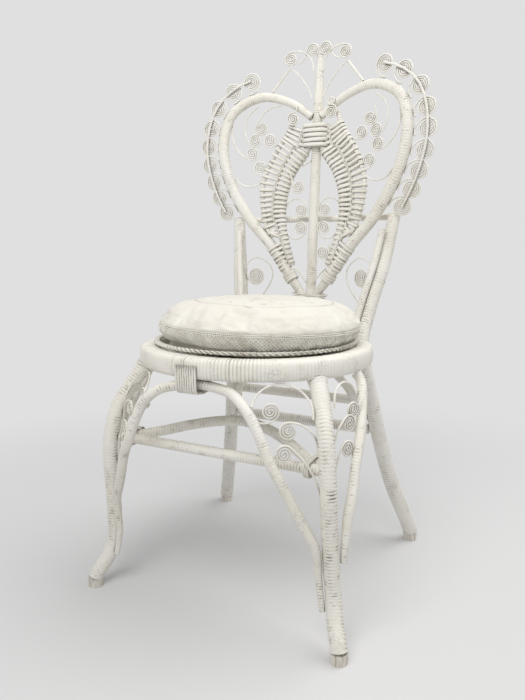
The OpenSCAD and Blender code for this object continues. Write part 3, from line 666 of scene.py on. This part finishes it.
def even_outline(inset, step):
    """Even points along the seat's outline, with their outward directions and distances."""
    fine = [outline(2 * math.pi * i / OUTLINE_STEPS, inset) for i in range(OUTLINE_STEPS + 1)]
    total = sum((fine[i + 1] - fine[i]).length for i in range(OUTLINE_STEPS))
    n = int(round(total / step))
    out, s, target, k = [], 0.0, 0.0, 0
    for i in range(OUTLINE_STEPS):
        seg = (fine[i + 1] - fine[i]).length
        while k < n and s + seg >= target:
            p = fine[i].lerp(fine[i + 1], (target - s) / seg)
            t = (fine[i + 1] - fine[i]).normalized()
            out.append((p, Vector((t.y, -t.x, 0.0)), target))
            k += 1
            target = k * total / n
        s += seg
    return out, total


def smooth_ring(poly, times):
    """Cut each corner of a closed outline, times over."""
    for _ in range(times):
        poly = [(a[0] * near + b[0] * (1 - near), a[1] * near + b[1] * (1 - near))
                for a, b in zip(poly, poly[1:] + poly[:1]) for near in (0.75, 0.25)]
    return poly


def hoop():
    """The seat's band, a flat section bound with cane."""
    h = hoop_hi[2] - hoop_lo[2]
    t = HOOP_T
    profile = smooth_ring([(0, 0.007), (0, h - 0.008), (-0.006, h), (-t + 0.006, h),
                           (-t, h - 0.006), (-t, 0.006), (-t + 0.006, 0), (-0.006, 0)], 2)
    m = len(profile)
    cx = sum(p[0] for p in profile) / m
    cz = sum(p[1] for p in profile) / m
    pts, _ = even_outline(0.0, HOOP_PITCH / 5)
    verts, faces, groove_and_shade = [], [], []
    for p, n, s in pts:
        turn = math.floor(s / HOOP_PITCH)
        f = s / HOOP_PITCH - turn
        crest = math.sin(math.pi * f) ** 0.5
        j = noise.noise(Vector((turn * 2.3, 1.0, 0.0)))
        clog = noise.noise(Vector((p.x * 9.0, p.y * 9.0, 2.0)))
        amount = min(1.0, max(0.42, 0.75 + 1.3 * clog))
        g = (1 - crest) * amount
        # where two turns have slipped apart the gap is sunk and painted dark as shade
        if min(f, 1 - f) < SLIP_ZONE and noise.noise(Vector((turn * 1.7, 8.0, 5.0))) > 0.36:
            g += 0.55
        sink = HOOP_GROOVE * g + 0.0010 * max(0.0, j) * amount
        for a, b in profile:
            v = p + n * a + Z * (hoop_lo[2] + b)
            c = p + n * cx + Z * (hoop_lo[2] + cz)
            d = (v - c).normalized()
            verts.append(v - d * sink)
            groove_and_shade.append(g * 1.1)
    for i in range(len(pts)):
        here, there = i * m, (i + 1) % len(pts) * m
        for k in range(m):
            faces.append((here + k, there + k, there + (k + 1) % m, here + (k + 1) % m))
    obj = make("seat_hoop_cane", verts, faces, PAINT_SEAT, groove_and_shade=groove_and_shade)
    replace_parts(obj, "seat_hoop")


def braid():
    """The plaited rim on the hoop: three strands."""
    lo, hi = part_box("seat_braid")
    z = (lo[2] + hi[2]) / 2
    inset = (hoop_hi[0] - hi[0]) + (hi[2] - lo[2]) / 2
    pts, total = even_outline(inset, 0.003)
    turns = round(total / PLAIT_TURN)
    b = Bundle()
    for k in range(3):
        line, dirs = [], []
        for p, n, s in pts:
            a = 2 * math.pi * (s / total * turns + k / 3)
            line.append(p + n * (0.0030 * math.sin(a)) + Z * (z + 0.0019 * math.sin(2 * a)))
            dirs.append(n)
        b.add(strap(line, dirs, 0.0050, 0.0030, closed=True))
    b.piece("seat_rim_plait", PAINT_TRIM, "lattice", ["seat_braid"])


def panel():
    """A plain weave under the cushion: strands that run back, then strands that run across."""
    lo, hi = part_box("seat_panel")
    z, yc = (lo[2] + hi[2]) / 2, (hi[1] + lo[1]) / 2
    half_sizes = (hi[0] - lo[0]) / 2, (hi[1] - lo[1]) / 2
    pitch, step, wave = 0.0105, 0.0052, 0.0012
    b = Bundle()
    for run, width_axis, rise in ((1, X, wave), (0, Y, -wave)):
        across, along = half_sizes[1 - run], half_sizes[run]
        count = int(across / pitch)
        for i in range(-count, count + 1):
            u = i * pitch
            half = along * (1 - min(1.0, abs(u) / across) ** 2.15) ** 0.5 - 0.001
            if half < 0.01:
                continue
            m = max(4, int(half * 2 / step))
            line = []
            for k in range(m + 1):
                v = -half + 2 * half * k / m
                x, y = (u, v) if run else (v, u)
                line.append(Vector((x, yc + y, z + rise * math.cos(math.pi * (v / pitch + i)))))
            b.add(strap(line, [width_axis] * len(line), 0.0088, 0.0018, around=6))
    b.piece("seat_weave", PAINT_TRIM, "lattice", ["seat_panel"])


hoop()
braid()
panel()


# ---------------------------------------------------------------- lens

def at(path, s):
    """Point and radius of a path at the distance s along it."""
    if s <= 0:
        return path[0][0].copy(), path[0][1]
    for (a, ra, sa), (b, rb, sb) in zip(path, path[1:]):
        if sb >= s:
            t = (s - sa) / max(sb - sa, 1e-9)
            return a.lerp(b, t), ra + (rb - ra) * t
    return path[-1][0].copy(), path[-1][1]


def down_path(node, sides, step):
    """A CAD pole's path from its upper end."""
    rings = rings_of(node, sides)
    return resample(rings if rings[0][0].z > rings[-1][0].z else rings[::-1], step)


def arc(centre, out, front, radius, degrees):
    """Points round a pole, by their angles from out towards front."""
    return [centre + out * (radius * math.cos(math.radians(a)))
            + front * (radius * math.sin(math.radians(a))) for a in degrees]


LENS_PITCH = 0.0108  # from one loop to the next
LENS_STRAP, LOOP_THICK = 0.0070, 0.0021
SHORTEST = 0.0035    # a loop that spans less is left out
INNER_GRIP, OUTER_GRIP = 0.0012, 0.0010  # from a pole's surface to the strand's middle
PLAIT_STEPS = 6      # of the fine plaited strand, in one pitch
LENS_PLAIT = LENS_PITCH / PLAIT_STEPS
PLAIT_WIDTH, PLAIT_THICK, PLAIT_SWING = 0.0022, 0.0016, 0.0024
CORE_SHARE = 0.55    # how near the core's ends lie to the inner pole
TRIM, SKIP = 8, 12   # path points left off a rod's ends, and taken one in SKIP


def lens_core(inner, rim, mid, low):
    """The line the loops share, which is the middle rod drawn out at both ends, and its foot."""
    top = inner[6][0] * CORE_SHARE + rim[0][0] * (1 - CORE_SHARE) - Z * 0.006
    foot = inner[-1][0] * CORE_SHARE + low * (1 - CORE_SHARE) + Z * 0.004
    points = [top] + [v[0] for v in mid[TRIM:-TRIM:SKIP]] + [foot]
    return resample([(p, mid[0][1]) for p in points], PATH_STEP), foot


def lens_loop(core, s, path, grip):
    """A closed strand from the core, at the distance s, round the nearest point of a pole."""
    m, rm = at(core, s)
    q, rq, _ = min(path, key=lambda v: (v[0] - m).length)
    u = q - m
    if u.length < SHORTEST:
        return None
    u.normalize()
    w = (at(core, s + 0.002)[0] - at(core, s - 0.002)[0]).normalized()
    w = (w - u * w.dot(u)).normalized()
    front = u.cross(w)
    if front.y > 0:
        front = -front
    pts = arc(m, u, front, rm + 0.0009, range(90, 271, 45))
    pts += arc(q, u, front, rq + grip, range(-90, 91, 30))
    size = LENS_STRAP * random.uniform(0.88, 1.08)
    twist = w + u * random.uniform(-0.08, 0.08)
    return strap(pts, [twist] * len(pts), size, LOOP_THICK, closed=True)


def lens(side):
    """One half of the lens: its poles, the loops woven between them and the plaited strand."""
    inner = down_path("lens_inner_" + side, POLE_SIDES, PATH_STEP)
    rim = down_path("lens_rim_" + side, ROD_SIDES, PATH_STEP)
    mid = down_path("lens_middle_" + side, ROD_SIDES, PATH_STEP)
    for name, path, around, pitch, depth in (("lens_inner_", inner, 16, 0.0056, 0.0009),
                                             ("lens_rim_", rim, 12, 0.0058, 0.0009),
                                             ("lens_middle_", mid, 8, 0.0200, 0.0003)):
        v, f, g = tube(path, around, wrap_profile(pitch, depth, 40.0 + around))
        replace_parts(make(name + side + "_cane", v, f, PAINT, groove_and_shade=g), name + side)
    pole = down_path("heart_" + side, POLE_SIDES, 0.0030)
    low = min(pole, key=lambda v: (v[0] - inner[-1][0]).length)[0]
    core, foot = lens_core(inner, rim, mid, low)
    # below the outer rod the loops go round the heart's pole
    floor_z, roof_z = foot.z - 0.02, rim[-TRIM][0].z - 0.012
    outer = rim[:-TRIM] + [v for v in pole if floor_z < v[0].z < roof_z and v[0].x * low.x > 0]
    b = Bundle()
    for k in range(int(core[-1][2] / LENS_PITCH) + 1):
        for row, (path, grip) in enumerate(((inner, INNER_GRIP), (outer, OUTER_GRIP))):
            loop = lens_loop(core, (k + 0.5 * row) * LENS_PITCH, path, grip)
            if loop:
                b.add(loop)
    # the fine strand, plaited down the front of the core
    for way in (-1, 1):
        line = []
        for k in range(3, int(core[-1][2] / LENS_PLAIT) - 3):
            p, radius = at(core, k * LENS_PLAIT)
            t = (at(core, k * LENS_PLAIT + 0.003)[0] - p).normalized()
            x = t.cross(-Y).normalized()
            line.append(p + x * (way * PLAIT_SWING * math.sin(math.pi * k / PLAIT_STEPS))
                        - Y * (radius + 0.0022 + 0.0006 * way))
        b.add(strap(line, [X] * len(line), PLAIT_WIDTH, PLAIT_THICK, around=6))
    b.piece("lens_weave_" + side, PAINT_TRIM, "lattice")


for side in ("left", "right"):
    lens(side)
    material("lens_binding_" + side, PAINT_HEAVY)
    for node in ("chain_scrolls_", "lobe_scrolls_", "lobe_reeds_", "chain_spine_"):
        material(node + side, PAINT_REED)
for node in ("finial_scrolls", "finial_reeds", "finial_rods", "lens_scrolls", "lens_reeds",
             "skirt_scrolls", "skirt_reeds", "front_leg_scrolls", "side_leg_scrolls",
             "hood_reeds"):
    material(node, PAINT_REED)
material("foot_tips", WOOD)


# ---------------------------------------------------------------- cushion

CUSHION_LO, CUSHION_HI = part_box("cushion")
CUSHION_MID = (CUSHION_LO + CUSHION_HI) / 2
CUSHION_RX = (CUSHION_HI[0] - CUSHION_LO[0]) / 2
CUSHION_RY = (CUSHION_HI[1] - CUSHION_LO[1]) / 2
CUSHION_H = CUSHION_HI[2] - CUSHION_LO[2]
SEWN_Z = CUSHION_LO[2] + 0.50 * CUSHION_H  # height of the sewn edge
SEWN_TILT = 0.0045                         # how far it dips towards +X
CUSHION_VOXEL = 0.0056                     # of the remeshed cover, under 200,000 triangles
# Levels of the cushion before it is filled: share of its height, distance inside the widest
CUSHION_LEVELS = [(0.0, 0.078), (0.0, 0.052), (0.03, 0.039), (0.10, 0.032), (0.19, 0.0265),
                  (0.25, 0.0185), (0.32, 0.0100), (0.39, 0.0045), (0.46, 0.0020),
                  (0.51, 0.0025), (0.58, 0.0050), (0.68, 0.0120), (0.78, 0.0240),
                  (0.86, 0.0420), (0.92, 0.0640), (0.96, 0.0900), (0.985, 0.1200),
                  (0.995, 0.1500)]


def cushion_shape():
    """The cover's cut before it is filled, closed above and below."""
    steps = 96
    verts, faces = [], []
    for share, inset in CUSHION_LEVELS:
        for i in range(steps):
            x, y = rounded(2 * math.pi * i / steps, CUSHION_RX - inset, CUSHION_RY - inset, 2.25)
            verts.append((CUSHION_MID[0] + x, CUSHION_MID[1] + y,
                          CUSHION_LO[2] + 0.0008 + share * (CUSHION_H - 0.004)))
    for k in range(len(CUSHION_LEVELS) - 1):
        for i in range(steps):
            j = (i + 1) % steps
            faces.append((k * steps + i, k * steps + j, (k + 1) * steps + j, (k + 1) * steps + i))
    last = (len(CUSHION_LEVELS) - 1) * steps
    faces.append(tuple(range(steps - 1, -1, -1)))
    faces.append(tuple(last + i for i in range(steps)))
    return verts, faces


def bake(obj):
    """Apply the object's modifiers to its mesh."""
    depsgraph = bpy.context.evaluated_depsgraph_get()
    mesh = bpy.data.meshes.new_from_object(obj.evaluated_get(depsgraph))
    obj.modifiers.clear()
    obj.data = mesh


CLOTH_FRAMES = 20


def fill_with_air(obj, pressure, cap):
    """Cloth under pressure: the sewn edge and foot are held, and no point moves beyond cap."""
    pins = obj.vertex_groups.new(name="sewn")
    pins.add([v.index for v in obj.data.vertices
              if abs(v.co.z - SEWN_Z) < 0.0035 or v.co.z < CUSHION_LO[2] + 0.004], 1.0, "REPLACE")
    before = [v.co.copy() for v in obj.data.vertices]
    cloth = obj.modifiers.new("cloth", "CLOTH")
    cloth.settings.use_pressure = True
    cloth.settings.uniform_pressure_force = pressure
    cloth.settings.shrink_min = -0.035
    cloth.settings.vertex_group_mass = "sewn"
    cloth.settings.effector_weights.gravity = 0
    for frame_number in range(1, CLOTH_FRAMES + 1):
        bpy.context.scene.frame_set(frame_number)
    after = obj.evaluated_get(bpy.context.evaluated_depsgraph_get()).to_mesh()
    moved = [v.co.copy() for v in after.vertices]
    obj.modifiers.clear()
    for v, a, b in zip(obj.data.vertices, before, moved):
        d = b - a
        v.co = a + d * min(1.0, cap / max(d.length, 1e-9))
    bpy.context.scene.frame_set(1)


# Middle and half sizes of the stitched ring on the cushion's crown
RING_X, RING_Y, RING_RX, RING_RY = 0.016, -0.040, 0.128, 0.120


def crown_detail(x, y):
    """Raise of the cloth on the crown, and how much darker it is, from its stitched ring and the
    work inside it.
    """
    ex, ey = (x - RING_X) / RING_RX, (y - RING_Y) / RING_RY
    r = math.hypot(ex, ey)
    a = math.atan2(ey, ex)
    r += 0.012 * math.sin(3 * a + 1.0) + 0.008 * math.sin(7 * a)
    ring = math.exp(-((r - 1.0) / 0.016) ** 2)
    raise_ = -0.0020 * ring
    darkening = 0.62 * ring * (0.55 + 0.45 * noise.noise(Vector((x * 60, y * 60, 3.0))))
    for count, at_r, turn in ((22, 0.85, 0.0), (16, 0.66, 0.5)):
        k = round(a / (2 * math.pi) * count - turn)
        da = (a - (k + turn) * 2 * math.pi / count) * r
        dr = r - at_r
        leaf = math.exp(-(da / 0.060) ** 2 - (dr / 0.046) ** 2)
        hole = math.exp(-(da / 0.030) ** 4 - (dr / 0.024) ** 4)
        raise_ += 0.0016 * leaf - 0.0032 * hole
        darkening = max(darkening, 0.95 * hole * (0.5 + 0.5 * math.sin(k * 2.1 + count)))
    if r < 0.56:
        net = math.sin(ex * 52) * math.sin(ey * 52)
        raise_ += 0.0006 * net
        darkening = max(darkening, 0.30 * max(0.0, -net))
    return raise_, max(0.0, darkening)


def cushion():
    """The cover: cut, filled, then creased, gathered and stitched in its mesh."""
    verts, faces = cushion_shape()
    obj = make("cushion_cover", verts, faces, CLOTH)
    remesh = obj.modifiers.new("remesh", "REMESH")
    remesh.mode = "VOXEL"
    remesh.voxel_size = CUSHION_VOXEL
    bake(obj)
    fill_with_air(obj, 4.0, 0.0060)
    smooth = obj.modifiers.new("smooth", "SUBSURF")
    smooth.levels = 1
    bake(obj)
    bm = bmesh.new()
    bm.from_mesh(obj.data)
    bm.normal_update()
    crown = [f for f in bm.faces
             if f.normal.z > 0.55 and f.calc_center_median().z > CUSHION_MID[2] + 0.01]
    edges = list({e for f in crown for e in f.edges})
    bmesh.ops.subdivide_edges(bm, edges=edges, cuts=1, use_grid_fill=True, smooth=0.0)
    bm.normal_update()
    seam = []
    for v in bm.verts:
        n, p = v.normal.copy(), v.co.copy()
        east = (p.x - CUSHION_MID[0]) / CUSHION_RX
        a = math.atan2((p.y - CUSHION_MID[1]) / CUSHION_RY, east)
        up = p.z - (SEWN_Z - 0.0008 - SEWN_TILT * east)
        # the cloth is gathered into the sewn edge, and hollows run away from it
        gather = 0.55 * math.sin(46 * a + 2.0 * math.sin(5 * a)) + 0.45 * math.sin(23 * a + 1.3)
        fade = math.exp(-abs(up) / 0.010) * min(1.0, abs(up) / 0.002)
        lift = 0.0010 * gather * fade - 0.0022 * math.exp(-(up / 0.0018) ** 2)
        lift += 0.0022 * noise.noise(Vector((p.x * 14, p.y * 14, p.z * 20)))
        lift += 0.0007 * noise.noise(Vector((p.x * 55, p.y * 55, p.z * 55 + 4.0)))
        # darker along the sewn edge
        darkening = 0.75 * math.exp(-(up / 0.0016) ** 2)
        if n.z > 0.3 and p.z > CUSHION_MID[2]:
            r_lift, r_darkening = crown_detail(p.x, p.y)
            lift += r_lift * min(1.0, (n.z - 0.3) / 0.3)
            darkening = max(darkening, r_darkening)
        v.co = p + n * lift
        v.co.z = max(v.co.z, CUSHION_LO[2] + 0.0004)
        seam.append(darkening)
    bm.to_mesh(obj.data)
    bm.free()
    store(obj.data, "seam", seam)
    smooth_shaded(obj.data)
    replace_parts(obj, "cushion")
    return obj


# ---------------------------------------------------------------- lace

LACE_W = 0.026
LACE_SHARE = 0.93  # of the width that the ground takes; the scallops take the rest
LACE_AROUND, LACE_DOWN = 320, 10
CORD_POINTS = 360


def lace_grid(cover):
    """Points and outward normals of the cushion where the lace lies, round it and down it."""
    tree = BVHTree.FromPolygons([v.co for v in cover.data.vertices],
                                [tuple(p.vertices) for p in cover.data.polygons])
    rows = []
    for i in range(LACE_AROUND):
        a = 2 * math.pi * i / LACE_AROUND
        out = Vector((math.cos(a) * CUSHION_RX, math.sin(a) * CUSHION_RY, 0)).normalized()
        top = SEWN_Z + 0.0005 - SEWN_TILT * math.cos(a)
        row = []
        for j in range(LACE_DOWN):
            z = top - (LACE_W - 0.001) * j / (LACE_DOWN - 1)
            start = Vector((CUSHION_MID[0], CUSHION_MID[1], z)) + out * 0.5
            row.append(tree.ray_cast(start, -out)[:2])
        rows.append(row)
    return rows


def lace(cover):
    """The trim round the sewn edge: a thin sheet of painted shade behind the net, and its threads
    as a piece of their own.
    """
    grid = lace_grid(cover)

    def spot(u, w, lift):
        """A point at the share u of the way round and w of the way down, and its normal."""
        fu, fw = (u % 1.0) * LACE_AROUND, min(max(w, 0.0), 1.0) * (LACE_DOWN - 1)
        i, j = int(fu), min(int(fw), LACE_DOWN - 2)
        s, t = fu - i, fw - j
        a, b = grid[i % LACE_AROUND], grid[(i + 1) % LACE_AROUND]
        p = a[j][0].lerp(b[j][0], s).lerp(a[j + 1][0].lerp(b[j + 1][0], s), t)
        n = a[j][1].lerp(b[j][1], s).lerp(a[j + 1][1].lerp(b[j + 1][1], s), t).normalized()
        return p + n * lift, n

    around = sum((grid[i][0][0] - grid[i - 1][0][0]).length for i in range(LACE_AROUND))
    verts, faces, tone = [], [], []
    for i in range(LACE_AROUND):
        for j in range(LACE_DOWN):
            p, _ = spot(i / LACE_AROUND, j / (LACE_DOWN - 1) * LACE_SHARE, 0.0004)
            verts.append(p)
            # painted shade: darkest in the eyelets under the upper cord, lighter behind the rest of
            # the net
            tone.append(1.0 if j < 2 else 0.34)
    for i in range(LACE_AROUND):
        for j in range(LACE_DOWN - 1):
            a, b = i * LACE_DOWN + j, (i + 1) % LACE_AROUND * LACE_DOWN + j
            faces.append((a, a + 1, b + 1, b))
    shade_sheet = make("cushion_lace_shade_sheet", verts, faces, LACE, groove_and_shade=tone)
    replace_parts(shade_sheet, "cushion_lace")
    b = Bundle()

    def clean(part):
        """A thread gets none of the painted shade."""
        b.add((part[0], part[1], [0.0] * len(part[2])))

    def thread(points, radius):
        clean(strap([p for p, _ in points], [Z.cross(n).normalized() + Z * 0.7 for _, n in points],
                    radius * 2, radius * 1.5, around=5))

    cells = int(round(around / 0.0068))
    for k in range(cells):
        for way in (-1, 1):
            slip = random.uniform(-0.1, 0.1)
            line = [spot((k + slip + way * 4.2 * (w - 0.14)) / cells, w, 0.0009 + way * 0.0003)
                    for w in (0.14, 0.26, 0.38, 0.50, 0.62, 0.74, 0.86, 0.97)]
            thread(line, 0.00078)
        if k % 3 == 0:
            # a closed lozenge in the net
            for m in (-1, 0, 1):
                thread([spot((k + 0.5 + t * 0.9 + m * 0.15) / cells, 0.52 + m * 0.09, 0.0013)
                        for t in (-1, -0.3, 0.3, 1)], 0.0011 - 0.0002 * abs(m))
        # the bars of the eyelets under the upper cord
        for part, radius in ((0.25, 0.0008), (0.75, 0.0006)):
            thread([spot((k + part) / cells, w, 0.0011) for w in (0.0, 0.07, 0.14)], radius)
        # the scalloped edge
        depth = 1 - LACE_SHARE
        thread([spot((k + t) / cells, LACE_SHARE + depth * math.sin(math.pi * t), 0.0011)
                for t in (0, 0.25, 0.5, 0.75, 1)], 0.0007)
    # the two cords that run right round
    for w, radius in ((0.0, 0.0009), (0.145, 0.0008)):
        line = [spot(i / CORD_POINTS, w, 0.0011)[0] for i in range(CORD_POINTS)]
        clean(strap(line, [Z] * CORD_POINTS, radius * 2, radius * 2, closed=True, around=6))
    net = b.piece("cushion_lace_net", LACE, "lace")


lace(cushion())


# ---------------------------------------------------------------- camera and light

# The photograph's camera, as recovered from the seat and the paired poles
LENS_MM, SENSOR_MM = 31.9, 36.0
CAMERA_PLACE = (0.5349, -1.0419, 0.6151)
CAMERA_DOWN, CAMERA_TURN = 8.956, 27.58
LAMP_COLOUR = (1.0, 0.99, 0.97)
SKY = (0.47, 0.475, 0.485, 1)
FLOOR = (0.71, 0.71, 0.71, 1)


def camera():
    cam = bpy.data.cameras.new("camera")
    cam.lens = LENS_MM
    cam.sensor_width = SENSOR_MM
    obj = bpy.data.objects.new("camera", cam)
    obj.location = CAMERA_PLACE
    obj.rotation_euler = (math.radians(90 - CAMERA_DOWN), 0.0, math.radians(CAMERA_TURN))
    bpy.context.scene.collection.objects.link(obj)
    bpy.context.scene.camera = obj


def area(name, size, power, place, aim):
    lamp = bpy.data.lights.new(name, "AREA")
    lamp.shape = "DISK"
    lamp.size = size
    lamp.energy = power
    lamp.color = LAMP_COLOUR
    obj = bpy.data.objects.new(name, lamp)
    obj.location = place
    direction = Vector(aim) - Vector(place)
    obj.rotation_euler = direction.to_track_quat("-Z", "Y").to_euler()
    bpy.context.scene.collection.objects.link(obj)


def sky():
    """The backdrop's grey to the eye and to reflections, and a dimmer light on the chair."""
    world = bpy.data.worlds.new("world")
    world.use_nodes = True
    bpy.context.scene.world = world
    w = Nodes(world.node_tree)
    rays = w.node("ShaderNodeLightPath").outputs
    seen = w.math("ADD", rays["Is Camera Ray"], rays["Is Glossy Ray"])
    seen = w.math("ADD", seen, rays["Is Transmission Ray"])
    back = w.tree.nodes["Background"]
    w.put(back.inputs["Color"], w.blend(SKY, BACKDROP, seen))
    back.inputs["Strength"].default_value = 1.0


def floor_material():
    """A pale floor that fades into the backdrop away from the chair."""
    s = Shader("floor")
    s.bsdf.inputs["Specular IOR Level"].default_value = 0.1
    far = s.node("ShaderNodeEmission")
    far.inputs["Color"].default_value = BACKDROP
    distance = s.node("ShaderNodeVectorMath", operation="LENGTH")
    s.put(distance.inputs[0], s.node("ShaderNodeNewGeometry").outputs["Position"])
    fade = s.node("ShaderNodeMapRange", interpolation_type="SMOOTHSTEP")
    fade.inputs["From Min"].default_value = 0.35
    fade.inputs["From Max"].default_value = 1.5
    s.put(fade.inputs["Value"], distance.outputs["Value"])
    both = s.node("ShaderNodeMixShader")
    s.put(both.inputs[0], fade.outputs["Result"])
    s.put(both.inputs[1], s.bsdf.outputs[0])
    s.put(both.inputs[2], far.outputs[0])
    s.put(s.tree.nodes["Material Output"].inputs["Surface"], both.outputs[0])
    return s.done(FLOOR, 0.9)


def studio():
    bpy.context.scene.view_settings.view_transform = "Standard"
    sky()
    bpy.ops.mesh.primitive_plane_add(size=1, location=(0, 0, 0))
    floor = bpy.context.object
    floor.name = "floor"
    floor.scale = (14, 14, 1)
    floor.data.materials.append(floor_material())
    area("key", 2.4, 37, (1.0, 0.7, 2.7), (0, 0, 0.5))
    area("front", 1.2, 17, (0.1, -1.15, 1.85), (0, 0.2, 0.92))


camera()
studio()
